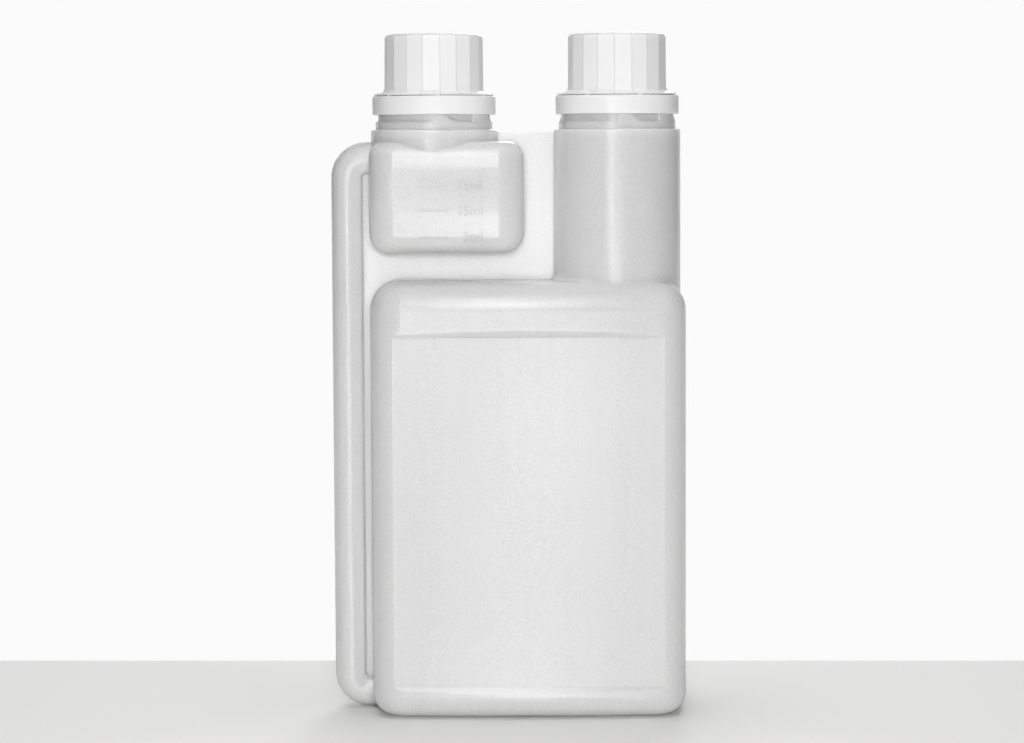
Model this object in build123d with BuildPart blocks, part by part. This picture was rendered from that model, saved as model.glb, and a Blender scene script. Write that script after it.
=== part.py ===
from build123d import *
from math import asin, degrees, radians, tan
import os

# Twin-neck dosing bottle, millimetres. X runs across the two necks, Y from front to back and Z up.
# The origin is on the standing plane, under the middle of the outline.

# Blown shell
wall = 1.2
web_thickness = 2.4
web_blend = 0.6
web_step = 0.3

# Neck finish
finish_radius = 11.9
finish_wall = 1.3
finish_height = 16.6
lip_round = 0.5

# Collar with ratchet pockets under the tamper ring
collar_ledge = 4.9
collar_height = 8.4
collar_wall = 1.6
pocket_depth = 0.7
pocket_foot = 2.2
pocket_stops = (-1.5, 43.5)
pocket_spans = (110.0, 32.0)
pocket_ramp = 11.0
pocket_ramp_rise = 2.0

# Neck columns
column_ledge = 1.4
column_inset = 0.8
column_rise = 3.4
column_shoulder_round = 0.5
column_gap = 8.9
main_blend = 2.0
dosing_blend = 1.0

# Dosing chamber
chamber_shelf = 7.4
chamber_lap = 0.15
chamber_height = 31.5
chamber_gap = 8.3
chamber_face_low = 12.7
chamber_face_high = 24.2
chamber_face_slope = 10.0
chamber_face_blend = 15.0
chamber_corner = 7.0
chamber_top_round = 4.5
chamber_base_round = 5.5

# Main chamber
body_depth = 48.0
body_height = 124.4
body_corner = 9.5
body_top_round = 8.0
body_base_round = 6.5
body_bow = 1.8

# Label panels sunk into the front and the back of the main chamber
panel_foot = 7.4
panel_head_drop = 13.4
panel_recess = 0.9
panel_ramp = 2.0
panel_radius = 1000.0

# Push-up under the base
foot_ring = 4.0
pushup_height = 1.8
pushup_corner = 6.0
pushup_slope = 45.0

# Ridge that the mould's pinch-off leaves across the push-up, along the parting line
pinch_length = 44.0
pinch_width = 1.0
pinch_height = 0.7

# Siphon channel up the left side and the web strip beside it
channel_width = 8.9
channel_depth = 12.0
channel_strip = 2.7
channel_lift = 0.1
channel_bend = 10.2
channel_crest = 4.4
channel_crest_round = 4.0
channel_root_depth = 9.2
channel_root_round = 1.5
channel_entry = 6.0

# Screw caps
cap_facets = 18
cap_thread_room = 1.05
cap_wall = 1.3
cap_height = 17.4
cap_draft = 0.5
cap_edge_round = 0.35
cap_rim_round = 1.2
cap_top = 1.6
cap_band_wall = 1.55
cap_band_height = 1.7
cap_flange_overhang = 0.25
cap_flange_height = 1.2
cap_flange_edge = 0.35
liner_thickness = 0.6
liner_clearance = 0.2

# Tamper rings
ring_clearance = 0.15
ring_wall = 0.75
ring_height = 5.3
ring_gap = 0.2
ring_edge_round = 0.35
bridge_count = 7
bridge_width = 1.0
bridge_height = 0.8
bridge_clearance = 0.1
tooth_depth = 0.45
tooth_width = 2.0
tooth_margin = 0.5
tooth_back = 5.0

# Each closure's name, and how far its facets and bridges are turned round from the front
cap_turn = {"main": -5.0, "dosing": 8.4}
bridge_turn = {"main": 19.9, "dosing": 5.0}

# How near two lengths are to count as equal
tolerance = 0.001

# Widths that follow from the neck finish
collar_radius = finish_radius + collar_ledge
column_radius = collar_radius + column_ledge
neck_spacing = 2 * column_radius + chamber_shelf + column_gap
chamber_width = chamber_lap + 2 * column_radius + chamber_shelf
chamber_depth = 2 * (column_radius + column_inset)
body_width = column_inset + neck_spacing + 2 * column_radius
overall_width = channel_width + channel_strip + body_width

cap_bore_radius = finish_radius + cap_thread_room
cap_radius = cap_bore_radius + cap_wall
cap_band_radius = cap_bore_radius + cap_band_wall
cap_flange_radius = collar_radius + cap_flange_overhang
ring_radius = collar_radius + ring_clearance + ring_wall

# Places across the bottle
body_right = overall_width / 2
body_left = body_right - body_width
body_mid = (body_left + body_right) / 2
main_x = body_right - column_inset - column_radius
dosing_x = main_x - neck_spacing
neck_x = {"main": main_x, "dosing": dosing_x}
chamber_left = dosing_x - column_radius - chamber_lap
chamber_mid = chamber_left + chamber_width / 2
channel_mid = channel_width / 2 - overall_width / 2
channel_inlet = body_left + channel_entry
channel_outlet = chamber_left + channel_entry

# Heights
panel_head = body_height - panel_head_drop
chamber_foot = body_height + chamber_gap
chamber_top = chamber_foot + chamber_height
column_top = chamber_top + column_rise
collar_top = column_top + collar_height
lip_z = collar_top + finish_height
main_column_foot = body_height - body_top_round - column_radius / 2
dosing_column_foot = chamber_foot + (chamber_face_low + chamber_face_high) / 2
channel_low = channel_lift + channel_width / 2
channel_high = chamber_top - channel_width / 2
web_top = column_top - column_shoulder_round - web_step
cap_head = lip_z + liner_thickness + cap_top
cap_foot = cap_head - cap_height
ring_top = cap_foot - ring_gap
ring_foot = ring_top - ring_height


def upright(x):
    """The plane that faces the viewer through a vertical line at x, with its own y along Z."""
    return Plane(origin=(x, 0, 0), x_dir=(1, 0, 0), z_dir=(0, -1, 0))


def from_front(angle):
    """A plan angle measured from the front, positive to the right, as an angle from +X."""
    return angle - 90


def polar(radius, angle):
    """A point in plan from its radius and angle."""
    return Vector(radius, 0).rotate(Axis.Z, angle)


def rounded_block(mid, width, depth, height, foot, bow, corner, top_round, base_round):
    """A block with rounded edges all round, its front and back bowed outwards."""
    with BuildPart() as block:
        with BuildSketch(Plane(origin=(mid, 0, foot))) as plan:
            with BuildLine():
                for side in (-1, 1):
                    edge = side * (depth / 2 - bow)
                    Line((side * width / 2, depth / 2 - bow), (side * width / 2, bow - depth / 2))
                    ThreePointArc((-width / 2, edge), (0, side * depth / 2), (width / 2, edge))
            make_face()
            fillet(plan.vertices(), radius=corner)
        extrude(amount=height)
        fillet(block.faces().sort_by(Axis.Z)[-1].edges(), radius=top_round)
        fillet(block.faces().sort_by(Axis.Z)[0].edges(), radius=base_round)
    return block.part


def label_panels(inset):
    """Cutters for the two label panels: shallow bowed bands with sloping ends."""
    surface = panel_radius - inset
    swing = degrees(asin(body_width / 2 / surface))
    axis_y = panel_radius - body_depth / 2 + panel_recess
    start = from_front(-swing)
    with BuildPart() as panels:
        section = Plane(origin=(body_mid, axis_y, 0), x_dir=polar(1, start), z_dir=polar(1, start - 90))
        with BuildSketch(section):
            with BuildLine():
                Polyline(
                    (surface, panel_foot + panel_ramp),
                    (surface, panel_head - panel_ramp),
                    (surface + 2 * panel_recess, panel_head + panel_ramp),
                    (surface + 2 * panel_recess, panel_foot - panel_ramp),
                    close=True,
                )
            make_face()
        revolve(axis=Axis((body_mid, axis_y, 0), (0, 0, 1)), revolution_arc=2 * swing)
        mirror(about=Plane.XZ)
    return panels.part


def pushup(inset):
    """The hollow under the base, or the raised floor over it when grown by the wall."""
    margin = 2 * (body_base_round + foot_ring - inset)
    with BuildPart() as hollow:
        with BuildSketch(Plane(origin=(body_mid, 0, inset))):
            RectangleRounded(body_width - margin, body_depth - margin, pushup_corner + inset)
        extrude(amount=pushup_height, taper=pushup_slope)
    return hollow.part


def pinch_ridge():
    """The pinch-off ridge on the roof of the push-up, rooted in the middle of the wall."""
    with BuildPart() as ridge:
        with BuildSketch(Plane(origin=(body_mid, 0, pushup_height - pinch_height))):
            SlotOverall(pinch_length, pinch_width)
        extrude(amount=pinch_height + wall / 2)
    return ridge.part


def main_chamber(inset):
    """The main chamber, or its hollow when inset by the wall."""
    block = rounded_block(
        body_mid, body_width - 2 * inset, body_depth - 2 * inset, body_height - 2 * inset, inset, body_bow,
        body_corner - inset, body_top_round - inset, body_base_round - inset,
    )
    panels = label_panels(inset)
    floor = pushup(inset)
    with BuildPart() as chamber:
        add(block)
        add(panels, mode=Mode.SUBTRACT)
        add(floor, mode=Mode.SUBTRACT)
    return chamber.part


def dosing_chamber(inset):
    """The small measuring chamber, or its hollow. Its front and back slope in towards top and bottom."""
    lean = tan(radians(chamber_face_slope))
    middle = chamber_depth / 2
    foot = middle - chamber_face_low * lean
    head = middle - (chamber_height - chamber_face_high) * lean
    with BuildPart() as chamber:
        end = Plane(origin=(chamber_left + inset, 0, chamber_foot), x_dir=(0, 1, 0), z_dir=(1, 0, 0))
        with BuildSketch(end) as side:
            with BuildLine():
                Polyline(
                    (-foot, 0),
                    (-middle, chamber_face_low),
                    (-middle, chamber_face_high),
                    (-head, chamber_height),
                    (head, chamber_height),
                    (middle, chamber_face_high),
                    (middle, chamber_face_low),
                    (foot, 0),
                    close=True,
                )
            make_face()
            bends = side.vertices().filter_by(lambda bend: abs(abs(bend.X) - middle) < tolerance)
            fillet(bends, radius=chamber_face_blend)
            offset(amount=-inset, mode=Mode.REPLACE)
        extrude(amount=chamber_width - 2 * inset)
        corners = chamber.edges().filter_by(
            lambda edge: edge.bounding_box().size.X < tolerance < edge.bounding_box().size.Z
        )
        fillet(corners, radius=chamber_corner - inset)
        fillet(chamber.faces().sort_by(Axis.Z)[-1].edges(), radius=chamber_top_round - inset)
        fillet(chamber.faces().sort_by(Axis.Z)[0].edges(), radius=chamber_base_round - inset)
    return chamber.part


def siphon_channel(inset):
    """The channel from the foot of the main chamber up and over into the dosing chamber."""
    half_width = channel_width / 2
    crest_up = half_width - channel_crest
    with BuildPart() as channel:
        with BuildLine(Plane.XZ):
            FilletPolyline(
                (channel_inlet, channel_low),
                (channel_mid, channel_low),
                (channel_mid, channel_high),
                (channel_outlet, channel_high),
                radius=channel_bend - half_width,
            )
        inlet = Plane(origin=(channel_inlet, 0, channel_low), x_dir=(0, 1, 0), z_dir=(-1, 0, 0))
        with BuildSketch(inlet) as section:
            with BuildLine():
                crests = [(side * channel_depth / 2, crest_up) for side in (-1, 1)]
                roots = [(side * channel_root_depth / 2, -half_width) for side in (1, -1)]
                ThreePointArc(crests[0], (0, half_width), crests[1])
                Polyline(crests[1], *roots, crests[0])
            make_face()
            fillet(section.vertices().group_by(Axis.Y)[-1], radius=channel_crest_round)
            fillet(section.vertices().group_by(Axis.Y)[0], radius=channel_root_round)
            offset(amount=-inset, mode=Mode.REPLACE)
        sweep()
    return channel.part


def neck(axis_x, foot):
    """A neck column with its collar and the plain cylinder that carries the thread."""
    with BuildPart() as turned:
        with BuildSketch(upright(axis_x)) as profile:
            with BuildLine():
                Polyline(
                    (0, foot),
                    (column_radius, foot),
                    (column_radius, column_top),
                    (collar_radius, column_top),
                    (collar_radius, collar_top),
                    (finish_radius, collar_top),
                    (finish_radius, lip_z),
                    (0, lip_z),
                    close=True,
                )
            make_face()
            shoulder = profile.vertices().sort_by_distance((column_radius, column_top))[0]
            fillet(shoulder, radius=column_shoulder_round)
            lip = profile.vertices().sort_by_distance((finish_radius, lip_z))[0]
            fillet(lip, radius=lip_round)
        revolve(axis=Axis((axis_x, 0, 0), (0, 0, 1)))
    return turned.part


def neck_bore(axis_x, foot):
    """The way through a neck, wide in the column and narrow in the finish."""
    column_bore = column_radius - wall
    collar_bore = collar_radius - collar_wall
    finish_bore = finish_radius - finish_wall
    with BuildPart() as bore:
        with BuildSketch(upright(axis_x)):
            with BuildLine():
                Polyline(
                    (0, foot),
                    (column_bore, foot),
                    (column_bore, column_top - 2 * wall),
                    (collar_bore, column_top),
                    (collar_bore, collar_top - 2 * wall),
                    (finish_bore, collar_top - wall),
                    (finish_bore, lip_z + wall),
                    (0, lip_z + wall),
                    close=True,
                )
            make_face()
        revolve(axis=Axis((axis_x, 0, 0), (0, 0, 1)))
    return bore.part


def web_plate():
    """The flat web, pinched between the mould halves, that joins the hollow parts."""
    with BuildPart() as web:
        with BuildSketch(Plane.XZ):
            with BuildLine():
                Polyline(
                    (channel_mid, channel_low),
                    (main_x, channel_low),
                    (main_x, web_top),
                    (dosing_x, web_top),
                    (dosing_x, channel_high),
                    (channel_mid, channel_high),
                    close=True,
                )
            make_face()
        extrude(amount=web_thickness / 2, both=True)
    return web.part


def pockets(axis_x):
    """Cutters for the ratchet pockets: a sloping lead-in at one end and a steep stop at the other."""
    floor = collar_radius - pocket_depth
    clear = collar_radius + pocket_depth
    foot = column_top + pocket_foot
    with BuildPart() as cutters:
        for stop, span in zip(pocket_stops, pocket_spans):
            for half_turn in (0, 180):
                last = from_front(stop + half_turn)
                first = last - span
                with BuildSketch(Plane(origin=(axis_x, 0, foot))):
                    with BuildLine():
                        CenterArc((0, 0), floor, first, span)
                        Line(polar(floor, last), polar(clear, last))
                        CenterArc((0, 0), clear, first, span)
                        Line(polar(clear, first), polar(floor, first))
                    make_face()
                extrude(amount=collar_height)
                out = polar(1, first)
                run = clear * radians(pocket_ramp)
                with BuildSketch(Plane(origin=(axis_x, 0, foot), x_dir=polar(1, first + 90), z_dir=out)):
                    with BuildLine():
                        Polyline((0, 0), (run, 0), (0, pocket_ramp_rise), close=True)
                    make_face()
                extrude(amount=clear + pocket_depth, mode=Mode.SUBTRACT)
    return cutters.part


os.makedirs("parts", exist_ok=True)

# The blown shell: its outer form is joined and blended first, then hollowed out
main_block = main_chamber(0)
main_column = neck(main_x, main_column_foot)
with BuildPart() as main_side:
    add(main_block)
    add(main_column)
    fillet(main_side.edges(Select.NEW), radius=main_blend)

dosing_block = dosing_chamber(0)
dosing_column = neck(dosing_x, dosing_column_foot)
with BuildPart() as dosing_side:
    add(dosing_block)
    add(dosing_column)
    fillet(dosing_side.edges(Select.NEW), radius=dosing_blend)

channel = siphon_channel(0)
web = web_plate()
pinch = pinch_ridge()
hollows = [main_chamber(wall), dosing_chamber(wall), siphon_channel(wall)]
hollows += [neck_bore(main_x, main_column_foot), neck_bore(dosing_x, dosing_column_foot)]
ratchets = [pockets(axis_x) for axis_x in neck_x.values()]

with BuildPart() as bottle_body:
    add(main_side.part)
    add(dosing_side.part)
    add(channel)
    add(web)
    web_face = web_thickness / 2
    roots = bottle_body.edges().filter_by(
        lambda edge: edge.bounding_box().size.Y < tolerance
        and abs(abs(edge.center().Y) - web_face) < tolerance
        and edge.center().Z < web_top - tolerance
    )
    fillet(roots, radius=web_blend)
    add(pinch)
    for hollow in hollows:
        add(hollow, mode=Mode.SUBTRACT)
    for ratchet in ratchets:
        add(ratchet, mode=Mode.SUBTRACT)
bottle_body.part.label = "bottle_body"
export_step(bottle_body.part, "parts/bottle_body.step")

# The two closures: a faceted cap, its sealing liner and the tamper ring that stays on the neck
for side, axis_x in neck_x.items():
    axis = Axis((axis_x, 0, 0), (0, 0, 1))

    with BuildPart() as cap:
        with BuildSketch(Plane(origin=(axis_x, 0, cap_foot))):
            RegularPolygon(cap_radius, cap_facets, rotation=from_front(cap_turn[side]))
        extrude(amount=cap_height, taper=cap_draft)
        corners = cap.edges().filter_by(lambda edge: edge.bounding_box().size.Z > cap_height / 2)
        fillet(corners, radius=cap_edge_round)
        fillet(cap.faces().sort_by(Axis.Z)[-1].edges(), radius=cap_rim_round)
        with BuildSketch(upright(axis_x)):
            with BuildLine():
                Polyline(
                    (0, cap_foot),
                    (cap_flange_radius, cap_foot),
                    (cap_flange_radius, cap_foot + cap_flange_edge),
                    (cap_band_radius, cap_foot + cap_flange_height),
                    (cap_band_radius, cap_foot + cap_band_height),
                    (0, cap_foot + cap_band_height),
                    close=True,
                )
            make_face()
        revolve(axis=axis)
        with BuildSketch(Plane(origin=(axis_x, 0, cap_foot))):
            Circle(cap_bore_radius)
        extrude(amount=cap_height - cap_top, mode=Mode.SUBTRACT)
    cap.part.label = f"{side}_cap"
    export_step(cap.part, f"parts/{side}_cap.step")

    with BuildPart() as liner:
        with BuildSketch(Plane(origin=(axis_x, 0, lip_z))):
            Circle(cap_bore_radius - liner_clearance)
        extrude(amount=liner_thickness)
    liner.part.label = f"{side}_cap_liner"
    export_step(liner.part, f"parts/{side}_cap_liner.step")

    with BuildPart() as ring:
        with BuildSketch(Plane(origin=(axis_x, 0, ring_foot))):
            Circle(ring_radius)
        extrude(amount=ring_height)
        fillet(ring.edges(), radius=ring_edge_round)
        with BuildSketch(Plane(origin=(axis_x, 0, ring_foot))):
            Circle(ring_radius - ring_wall)
        extrude(amount=ring_height, mode=Mode.SUBTRACT)
        inner = cap_flange_radius + bridge_clearance
        outer = ring_radius - ring_edge_round
        with BuildSketch(Plane(origin=(axis_x, 0, ring_top))):
            with PolarLocations((inner + outer) / 2, bridge_count, from_front(bridge_turn[side])):
                Rectangle(outer - inner, bridge_width)
        extrude(amount=bridge_height)
        with BuildSketch(Plane(origin=(axis_x, 0, ring_foot + tooth_margin))):
            for stop in pocket_stops:
                with PolarLocations(ring_radius - ring_wall, 2, from_front(stop - tooth_back)):
                    Rectangle(2 * tooth_depth, tooth_width)
        extrude(amount=ring_height - 2 * tooth_margin)
    ring.part.label = f"{side}_tamper_ring"
    export_step(ring.part, f"parts/{side}_tamper_ring.step")
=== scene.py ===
from math import cos, radians, sin, tau

import bmesh
import bpy
from mathutils import Matrix, Vector


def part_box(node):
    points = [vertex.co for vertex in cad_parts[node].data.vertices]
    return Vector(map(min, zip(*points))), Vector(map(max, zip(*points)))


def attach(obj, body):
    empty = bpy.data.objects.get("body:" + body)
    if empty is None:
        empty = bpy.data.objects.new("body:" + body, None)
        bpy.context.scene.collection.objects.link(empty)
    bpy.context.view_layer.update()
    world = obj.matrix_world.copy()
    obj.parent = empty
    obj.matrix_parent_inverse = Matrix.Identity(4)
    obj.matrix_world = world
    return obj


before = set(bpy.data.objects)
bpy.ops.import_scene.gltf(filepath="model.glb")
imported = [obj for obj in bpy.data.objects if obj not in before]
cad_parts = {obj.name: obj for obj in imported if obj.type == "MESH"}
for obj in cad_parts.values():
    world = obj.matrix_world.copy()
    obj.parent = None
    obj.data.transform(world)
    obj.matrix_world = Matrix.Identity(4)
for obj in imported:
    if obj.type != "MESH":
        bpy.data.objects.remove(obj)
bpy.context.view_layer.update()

MM = 0.001
SIDES = ("main", "dosing")

# Screw threads
THREAD_PITCH = 3.2 * MM
THREAD_TURNS = 1.6
THREAD_ROOT_WIDTH = 1.4 * MM
THREAD_CREST_WIDTH = 0.7 * MM
THREAD_SINK = 0.1 * MM
THREAD_START = 12.5 * MM
THREAD_STEPS_PER_TURN = 72
THREAD_FADE = 0.09
THREAD_LEAST = 0.02
FINISH_RADIUS = 11.9 * MM
NECK_THREAD_HEIGHT = 0.7 * MM
CAP_BORE_RADIUS = 12.95 * MM
CAP_THREAD_HEIGHT = 0.7 * MM

# Facets of the caps, turned round from the front, and the painted shade along their edges and round the top
CAP_FACETS = 18
CAP_TURN = {"main": -5.0, "dosing": 8.4}
CAP_EDGE_SHADE = 0.35
FACET_SHADE_REACH = (0.28 * MM, 0.08 * MM)
FACET_SHADE_RADIUS = (13.0 * MM, 13.3 * MM)
RIM_SHADE_DEPTH = (0.8 * MM, 0.5 * MM)
RIM_SHADE_RADIUS = (12.8 * MM, 13.1 * MM)

# The mould's parting line round the bottle
PARTING_LINE = (0.22 * MM, 0.08 * MM)

# Measuring marks on the dosing chamber's front: the height of each, and how far it stands out
MARKS = {
    "5ml": (137.3 * MM, 0.1 * MM),
    "15ml": (144.6 * MM, 0.1 * MM),
    "25ml": (151.9 * MM, 0.04 * MM),
}
FAINT_MARKS = ("25ml",)
MARK_LINE = (-25.0 * MM, -16.6 * MM)
MARK_LINE_WIDTH = 0.35 * MM
MARK_LINE_CUTS = 6
MARK_TEXT_RIGHT = -6.6 * MM
MARK_TEXT_SIZE = 3.9 * MM
MARK_SINK = 0.3 * MM
MARK_ROUND = 0.08 * MM
MARK_ROUND_STEPS = 3

# Camera, as the photograph was taken
CAMERA_PLACE = (1.15 * MM, -822.4 * MM, 162.4 * MM)
CAMERA_PITCH = 4.5
CAMERA_ROLL = -0.27
CAMERA_LENS = 100.0
CAMERA_SENSOR = 36.0
CAMERA_NEAR = 10.0 * MM

# Stage
FLOOR_SIZE = 6.0
FLOOR_EDGE = 70.0 * MM
FLOOR_EDGE_SKEW = 0.026
FLOOR_EDGE_BLUR = 1.6 * MM
FLOOR_FADE = (0.3, 0.6)
WALL_SPREAD = (0.72, 0.86)
BACKDROP_WHITE = 0.965
BACKDROP_LIGHT = 0.15

# Lights round the middle of the object: azimuth from the front, elevation, distance, width, height and power
LIGHT_AIM = (0.0, 0.0, 0.13)
SOFTBOXES = {
    "key": (1.0, 7.0, 0.75, 0.14, 0.14, 3.55),
    "overhead": (0.0, 85.0, 0.9, 0.8, 0.7, 5.4),
    "left": (-105.0, 12.0, 1.2, 0.5, 0.6, 0.8),
    "right": (105.0, 12.0, 1.2, 0.5, 0.6, 0.6),
    "back": (180.0, 18.0, 1.2, 0.9, 0.6, 6.5),
}
FLOOR_LIGHT = (-165.0, 58.0, 0.9, 0.8, 0.5, 1.3)
GLOSS_CARDS = {
    "upper": (-2.0, 25.0, 1.1, 0.08, 0.6, 2.7),
    "high": (-4.0, 50.0, 1.1, 0.2, 0.4, 0.9),
    "column": (-10.5, 0.0, 1.1, 0.05, 0.12, 0.7),
    "lower": (0.0, -21.0, 1.1, 0.05, 0.08, 0.85),
    "panel": (1.8, -6.5, 1.1, 0.03, 0.1, 0.55),
    "behind": (174.0, 25.0, 1.1, 0.16, 0.6, 3.4),
}


class Value:
    """A shader socket. Python's operators on it add Math nodes."""

    def __init__(self, shader, socket):
        self.shader = shader
        self.socket = socket

    def math(self, operation, *others):
        values = dict(enumerate((self, *others)))
        return self.shader.node("ShaderNodeMath", {"operation": operation}, values)

    def flipped(self, operation, other):
        return self.shader.node("ShaderNodeMath", {"operation": operation}, {0: other, 1: self})

    def __add__(self, other):
        return self.math("ADD", other)

    def __sub__(self, other):
        return self.math("SUBTRACT", other)

    def __mul__(self, other):
        return self.math("MULTIPLY", other)

    def __truediv__(self, other):
        return self.math("DIVIDE", other)

    def __rsub__(self, other):
        return self.flipped("SUBTRACT", other)

    def __rtruediv__(self, other):
        return self.flipped("DIVIDE", other)

    __radd__ = __add__
    __rmul__ = __mul__

    def __abs__(self):
        return self.math("ABSOLUTE")

    def most(self, other):
        return self.math("MAXIMUM", other)

    def ramp(self, low, high):
        """0 below low, 1 above high, and smooth between. It falls if low is above high."""
        settings = {"interpolation_type": "SMOOTHSTEP"}
        inputs = {"Value": self, "From Min": low, "From Max": high}
        return self.shader.node("ShaderNodeMapRange", settings, inputs)


class Shader:
    """A node tree that is filled by code."""

    def __init__(self, owner):
        owner.use_nodes = True
        self.owner = owner
        self.tree = owner.node_tree
        self.tree.nodes.clear()

    def node(self, kind, settings=None, inputs=None, output=0):
        """Adds a node: its settings first, then the values or links of its sockets."""
        node = self.tree.nodes.new(kind)
        for name, setting in (settings or {}).items():
            setattr(node, name, setting)
        for name, value in (inputs or {}).items():
            if isinstance(value, Value):
                self.tree.links.new(value.socket, node.inputs[name])
            else:
                node.inputs[name].default_value = value
        if node.outputs:
            return Value(self, node.outputs[output])

    def place(self):
        """The surface point in the object's own coordinates, which are the part's frame."""
        return self.node("ShaderNodeTexCoord", output="Object")

    def split(self, vector):
        return [self.node("ShaderNodeSeparateXYZ", inputs={0: vector}, output=axis) for axis in range(3)]

    def noise(self, vector, scale, detail=2.0, roughness=0.5):
        inputs = {"Vector": vector, "Scale": scale, "Detail": detail, "Roughness": roughness}
        return self.node("ShaderNodeTexNoise", inputs=inputs)

    def stretched(self, vector, scale):
        return self.node("ShaderNodeMapping", inputs={"Vector": vector, "Scale": scale})

    def blend(self, factor, first, second):
        """A colour between two colours."""
        inputs = {"Factor": factor, 6: first, 7: second}
        return self.node("ShaderNodeMix", {"data_type": "RGBA"}, inputs, output=2)

    def bump(self, height, distance):
        return self.node("ShaderNodeBump", inputs={"Height": height, "Distance": distance, "Strength": 1.0})

    def surface(self, inputs):
        """Ends the tree in a Principled surface."""
        self.output(self.node("ShaderNodeBsdfPrincipled", inputs=inputs))

    def output(self, shader, kind="ShaderNodeOutputMaterial"):
        self.node(kind, inputs={"Surface": shader})


def neck_axis(side):
    """Where a neck's axis stands, and the height of its lip, from the liner that rests on it."""
    low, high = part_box(f"{side}_cap_liner")
    return (low[0] + high[0]) / 2, low[2]


def cap_top(side):
    """The height of a cap's top."""
    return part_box(f"{side}_cap")[1][2]


def grey(level, warmth=0.0):
    """A colour of even grey, a little warmer or cooler."""
    return (level * (1 + warmth), level, level * (1 - warmth), 1.0)


def natural_polyethylene(name, pale, deep, scatter):
    """Milky blown polyethylene: satin, finely grained, a little cloudy, with its mould's parting line."""
    shader = Shader(bpy.data.materials.new(name))
    place = shader.place()
    front = shader.split(place)[1]
    grain = shader.noise(place, 2400.0, detail=3.0, roughness=0.6)
    peel = shader.noise(place, 420.0)
    cloud = shader.noise(place, 38.0, detail=3.0)
    drawn = shader.noise(shader.stretched(place, (260.0, 260.0, 14.0)), 1.0)
    seam = abs(front).ramp(*PARTING_LINE)
    tone = cloud * 0.13 + drawn * 0.12 + grain * 0.75
    height = grain * 0.5 + peel * 0.35 + drawn * 0.15 + seam * 1.6
    shader.surface({
        "Base Color": shader.blend(tone, grey(deep), grey(pale)),
        "Roughness": 0.17 + grain * 0.1,
        "Subsurface Weight": scatter,
        "Subsurface Radius": (1.0, 1.0, 1.0),
        "Subsurface Scale": 3.5 * MM,
        "IOR": 1.54,
        "Specular IOR Level": 0.6,
        "Normal": shader.bump(height, 0.06 * MM),
    })
    return shader.owner


def painted_cap_edge_shade(shader, place, side):
    """Painted shade on a cap: 1 along the edges between its facets and round its top, and 0 on the facets and
    inside the cap.
    """
    x, y, z = shader.split(place)
    across = x - neck_axis(side)[0]
    radius = (across * across + y * y).math("SQRT")
    facet = tau / CAP_FACETS
    turned = (across.math("ARCTAN2", y * -1) - radians(CAP_TURN[side])) / facet
    off_edge = abs((turned + 0.5).math("FRACT") - 0.5) * facet * radius
    facet_shade = off_edge.ramp(*FACET_SHADE_REACH) * radius.ramp(*FACET_SHADE_RADIUS)
    rim_shade = (cap_top(side) - z).ramp(*RIM_SHADE_DEPTH) * radius.ramp(*RIM_SHADE_RADIUS)
    return facet_shade.most(rim_shade)


def white_polypropylene(name, side=None):
    """Moulded white polypropylene: semi-gloss, with faint flow marks, and on a cap painted shade along the
    edges of its facets and round its top.
    """
    shader = Shader(bpy.data.materials.new(name))
    place = shader.place()
    grain = shader.noise(place, 1500.0)
    flow = shader.noise(shader.stretched(place, (120.0, 120.0, 30.0)), 1.0, detail=3.0)
    colour = shader.blend(flow, grey(0.93), grey(0.97))
    if side:
        # Painted shade: the caps' facet edges and top rim are darkened in the colour.
        colour = shader.blend(painted_cap_edge_shade(shader, place, side) * CAP_EDGE_SHADE, colour, grey(0.5))
    shader.surface({
        "Base Color": colour,
        "Roughness": 0.36 + flow * 0.1,
        "Subsurface Weight": 0.5,
        "Subsurface Radius": (1.0, 1.0, 1.0),
        "Subsurface Scale": 1.0 * MM,
        "IOR": 1.49,
        "Normal": shader.bump(grain * 0.5 + flow * 0.5, 0.02 * MM),
    })
    return shader.owner


def liner_foam():
    """Foamed polyethylene sheet: matt, with fine cells."""
    shader = Shader(bpy.data.materials.new("liner_foam"))
    cells = shader.node("ShaderNodeTexVoronoi", inputs={"Vector": shader.place(), "Scale": 2600.0})
    shader.surface({
        "Base Color": shader.blend(cells, grey(0.82, 0.01), grey(0.74, 0.015)),
        "Roughness": 0.7 + cells * 0.2,
        "Normal": shader.bump(cells, 0.05 * MM),
    })
    return shader.owner


def light_path(shader, *kinds):
    """1 where a ray is of one of these kinds, and 0 elsewhere."""
    rays = [shader.node("ShaderNodeLightPath", output=f"Is {kind} Ray") for kind in kinds]
    found = rays[0]
    for ray in rays[1:]:
        found = found.most(ray)
    return found


def seen_white(shader, unseen):
    """The backdrop's strength: white to the camera, gloss and glass, and less as a light."""
    return unseen + light_path(shader, "Camera", "Glossy", "Transmission") * (BACKDROP_WHITE - unseen)


def floor_sheet():
    """The pale grey sheet that the bottle stands on, ending in a white backdrop."""
    shader = Shader(bpy.data.materials.new("floor_sheet"))
    place = shader.place()
    across, back = shader.split(place)[:2]
    fibre = shader.noise(place, 900.0, detail=3.0)
    sheet = shader.node("ShaderNodeBsdfPrincipled", inputs={
        "Base Color": shader.blend(fibre, grey(0.81, 0.006), grey(0.84, 0.006)),
        "Roughness": 0.75,
        "Specular IOR Level": 0.2,
    })
    white = shader.node("ShaderNodeEmission", inputs={
        "Color": grey(1.0),
        "Strength": seen_white(shader, BACKDROP_LIGHT),
    })
    behind = (back + across * FLOOR_EDGE_SKEW).ramp(FLOOR_EDGE, FLOOR_EDGE + FLOOR_EDGE_BLUR)
    far_out = (across * across + back * back).math("SQRT").ramp(*FLOOR_FADE)
    shader.output(shader.node("ShaderNodeMixShader", inputs={0: behind.most(far_out), 1: sheet, 2: white}))
    return shader.owner


def new_object(name, mesh, material):
    """Closes a bmesh into an object of one material."""
    data = bpy.data.meshes.new(name)
    mesh.to_mesh(data)
    mesh.free()
    data.materials.append(material)
    made = bpy.data.objects.new(name, data)
    bpy.context.collection.objects.link(made)
    return made


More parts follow.
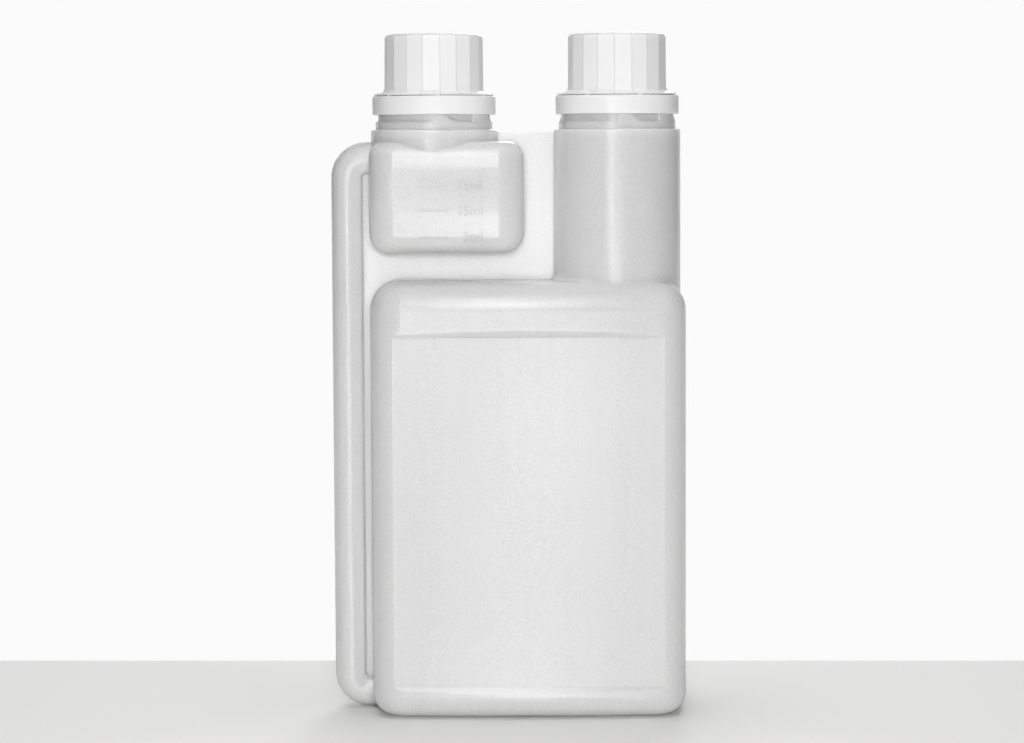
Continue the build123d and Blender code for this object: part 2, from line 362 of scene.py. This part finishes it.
def new_piece(name, mesh, body, material):
    """Closes a bmesh into a piece that rides on a body of the frame."""
    piece = new_object(name, mesh, material)
    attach(piece, body)


def helix_ridge(axis_x, start_z, root, height, turns):
    """A screw ridge round a vertical axis, rising from a root radius, its ends running out."""
    mesh = bmesh.new()
    crest = root + height
    sunk = root - THREAD_SINK * (1 if height > 0 else -1)
    profile = [
        (sunk, -THREAD_ROOT_WIDTH / 2),
        (crest, -THREAD_CREST_WIDTH / 2),
        (crest, THREAD_CREST_WIDTH / 2),
        (sunk, THREAD_ROOT_WIDTH / 2),
    ]
    corners = [mesh.verts.new((axis_x + r, 0, start_z + rise)) for r, rise in profile]
    section = mesh.faces.new(corners)
    steps = round(turns * THREAD_STEPS_PER_TURN)
    bmesh.ops.spin(
        mesh, geom=[*corners, *section.edges, section], cent=(axis_x, 0, 0), axis=(0, 0, 1),
        dvec=(0, 0, THREAD_PITCH * turns / steps), angle=tau * turns, steps=steps, use_merge=False,
        use_duplicate=False,
    )
    mesh.verts.ensure_lookup_table()
    axis = Vector((axis_x, 0, 0))
    for vertex in mesh.verts:
        along = (vertex.index // len(profile)) / steps
        shrink = min(1.0, along / THREAD_FADE, (1 - along) / THREAD_FADE)
        flat = Vector((vertex.co.x, vertex.co.y, 0)) - axis
        flat.length = root + (flat.length - root) * max(shrink, THREAD_LEAST)
        vertex.co.x = axis_x + flat.x
        vertex.co.y = flat.y
    bmesh.ops.recalc_face_normals(mesh, faces=mesh.faces)
    return mesh


def threads(neck_material, cap_material):
    """The outer thread of each neck, and the inner thread of its cap half a pitch below it."""
    for side in SIDES:
        axis_x, lip = neck_axis(side)
        start = lip - THREAD_START
        ridge = helix_ridge(axis_x, start, FINISH_RADIUS, NECK_THREAD_HEIGHT, THREAD_TURNS)
        new_piece(f"{side}_neck_thread", ridge, "bottle", neck_material)
        start -= THREAD_PITCH / 2
        ridge = helix_ridge(axis_x, start, CAP_BORE_RADIUS, -CAP_THREAD_HEIGHT, THREAD_TURNS)
        new_piece(f"{side}_cap_thread", ridge, f"{side}_closure", cap_material)


def lay_on_front(mesh):
    """Moves a flat mesh, drawn in XZ with Y as its depth, back onto the bottle's front."""
    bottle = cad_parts["bottle_body"]
    for vertex in mesh.verts:
        x, y, z = vertex.co
        front = bottle.ray_cast((x, -1.0, z), (0, 1, 0))[1]
        vertex.co.y = front.y + y


def long_edges(mesh):
    """The edges that run along a measuring line."""
    return [edge for edge in mesh.edges if abs(edge.verts[0].co.x - edge.verts[1].co.x) > MM]


def mark_line(height, rise):
    """One raised measuring line."""
    mesh = bmesh.new()
    bmesh.ops.create_cube(mesh, size=1.0)
    left, right = MARK_LINE
    size = (right - left, rise + MARK_SINK, MARK_LINE_WIDTH)
    middle = ((left + right) / 2, (MARK_SINK - rise) / 2, height)
    bmesh.ops.scale(mesh, vec=size, verts=mesh.verts)
    crest = [edge for edge in long_edges(mesh) if max(vertex.co.y for vertex in edge.verts) < 0]
    bmesh.ops.bevel(
        mesh, geom=crest, offset=MARK_ROUND, segments=MARK_ROUND_STEPS, profile=0.5, affect="EDGES",
        material=-1,
    )
    bmesh.ops.subdivide_edges(mesh, edges=long_edges(mesh), cuts=MARK_LINE_CUTS)
    bmesh.ops.translate(mesh, vec=middle, verts=mesh.verts)
    lay_on_front(mesh)
    return mesh


def mark_text(words, height, rise):
    """Raised figures beside a measuring line."""
    curve = bpy.data.curves.new("mark_words", "FONT")
    curve.body = words
    curve.size = MARK_TEXT_SIZE
    curve.extrude = (rise + MARK_SINK) / 2 - MARK_ROUND
    curve.bevel_depth = MARK_ROUND
    curve.bevel_resolution = 1
    curve.offset = -MARK_ROUND
    curve.align_x = "RIGHT"
    curve.align_y = "CENTER"
    carrier = bpy.data.objects.new("mark_words", curve)
    bpy.context.collection.objects.link(carrier)
    bpy.context.view_layer.update()
    data = bpy.data.meshes.new_from_object(carrier)
    bpy.data.objects.remove(carrier)
    mesh = bmesh.new()
    mesh.from_mesh(data)
    upright = Matrix.Rotation(radians(90), 4, "X")
    bmesh.ops.transform(mesh, matrix=upright, verts=mesh.verts)
    middle = (MARK_TEXT_RIGHT, (MARK_SINK - rise) / 2, height)
    bmesh.ops.translate(mesh, vec=middle, verts=mesh.verts)
    lay_on_front(mesh)
    return mesh


def measuring_marks(painted_shade_mark_material, faint_painted_shade_mark_material):
    """Each mark's line and its figures, in darker copies of the bottle's plastic, as painted shade."""
    for words, (height, rise) in MARKS.items():
        material = faint_painted_shade_mark_material if words in FAINT_MARKS else painted_shade_mark_material
        line = mark_line(height, rise)
        new_piece(f"mark_line_{words}", line, "bottle", material)
        figures = mark_text(words, height, rise)
        new_piece(f"mark_figures_{words}", figures, "bottle", material)


def dress_solids(polyethylene, polypropylene, foam):
    """Gives each solid of the frame its finish."""
    finishes = {"bottle_body": polyethylene}
    for side in SIDES:
        finishes[f"{side}_cap"] = white_polypropylene(f"{side}_cap_polypropylene", side)
        finishes[f"{side}_tamper_ring"] = polypropylene
        finishes[f"{side}_cap_liner"] = foam
    for node, material in finishes.items():
        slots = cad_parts[node].data.materials
        slots.clear()
        slots.append(material)


def stage_floor():
    """The floor. It casts no shadow, so that it doesn't stop the low light in front."""
    mesh = bmesh.new()
    bmesh.ops.create_grid(mesh, x_segments=1, y_segments=1, size=FLOOR_SIZE / 2)
    floor = new_object("floor", mesh, floor_sheet())
    floor.visible_shadow = False
    return floor


def studio_world():
    """White to the camera, and round the object a dark studio with a pale wall behind it."""
    world = bpy.data.worlds.new("studio")
    bpy.context.scene.world = world
    shader = Shader(world)
    direction = shader.node("ShaderNodeTexCoord", output="Generated")
    wall = shader.split(direction)[1].ramp(*WALL_SPREAD)
    studio = wall * BACKDROP_LIGHT
    mirrored = light_path(shader, "Glossy", "Transmission") * wall
    seen = light_path(shader, "Camera").most(mirrored)
    strength = studio + seen * (BACKDROP_WHITE - studio)
    background = shader.node("ShaderNodeBackground", inputs={"Color": grey(1.0), "Strength": strength})
    shader.output(background, "ShaderNodeOutputWorld")


def area_light(name, azimuth, elevation, distance, width, height, power):
    """An area light that faces the object and that the camera doesn't see."""
    data = bpy.data.lights.new(name, "AREA")
    data.shape = "RECTANGLE"
    data.size = width
    data.size_y = height
    data.energy = power
    light = bpy.data.objects.new(name, data)
    bpy.context.collection.objects.link(light)
    level = cos(radians(elevation))
    outward = Vector((sin(radians(azimuth)) * level, -cos(radians(azimuth)) * level, sin(radians(elevation))))
    light.location = Vector(LIGHT_AIM) + outward * distance
    light.rotation_euler = outward.to_track_quat("Z", "Y").to_euler()
    light.visible_camera = False
    return light


def studio_lights(floor):
    """Softboxes for the even light, cards that only gloss shows, and a light that only the floor takes."""
    for name, setting in SOFTBOXES.items():
        area_light(f"{name}_softbox", *setting).visible_glossy = False
    for name, setting in GLOSS_CARDS.items():
        area_light(f"{name}_card", *setting).visible_diffuse = False
    floor_only = bpy.data.collections.new("floor_only")
    floor_only.objects.link(floor)
    area_light("floor_light", *FLOOR_LIGHT).light_linking.receiver_collection = floor_only


def photograph_camera():
    """The camera, where the photograph was taken from."""
    data = bpy.data.cameras.new("camera")
    data.lens = CAMERA_LENS
    data.sensor_width = CAMERA_SENSOR
    data.clip_start = CAMERA_NEAR
    camera = bpy.data.objects.new("camera", data)
    bpy.context.collection.objects.link(camera)
    tilt = Matrix.Rotation(radians(90 - CAMERA_PITCH), 4, "X") @ Matrix.Rotation(radians(CAMERA_ROLL), 4, "Z")
    camera.matrix_world = Matrix.Translation(CAMERA_PLACE) @ tilt
    bpy.context.scene.camera = camera


polyethylene = natural_polyethylene("natural_polyethylene", pale=0.96, deep=0.62, scatter=1.0)
# Painted shade: darker copies of the bottle's plastic, without scatter, for the raised marks.
mark_polyethylene_painted_shade = natural_polyethylene("mark_polyethylene_painted_shade", pale=0.81, deep=0.565, scatter=0.0)
faint_mark_polyethylene_painted_shade = natural_polyethylene("faint_mark_polyethylene_painted_shade", pale=0.85, deep=0.59, scatter=0.0)
polypropylene = white_polypropylene("white_polypropylene")
foam = liner_foam()
dress_solids(polyethylene, polypropylene, foam)
threads(polyethylene, polypropylene)
measuring_marks(mark_polyethylene_painted_shade, faint_mark_polyethylene_painted_shade)
floor = stage_floor()
studio_world()
studio_lights(floor)
photograph_camera()
bpy.context.scene.view_settings.view_transform = "Standard"
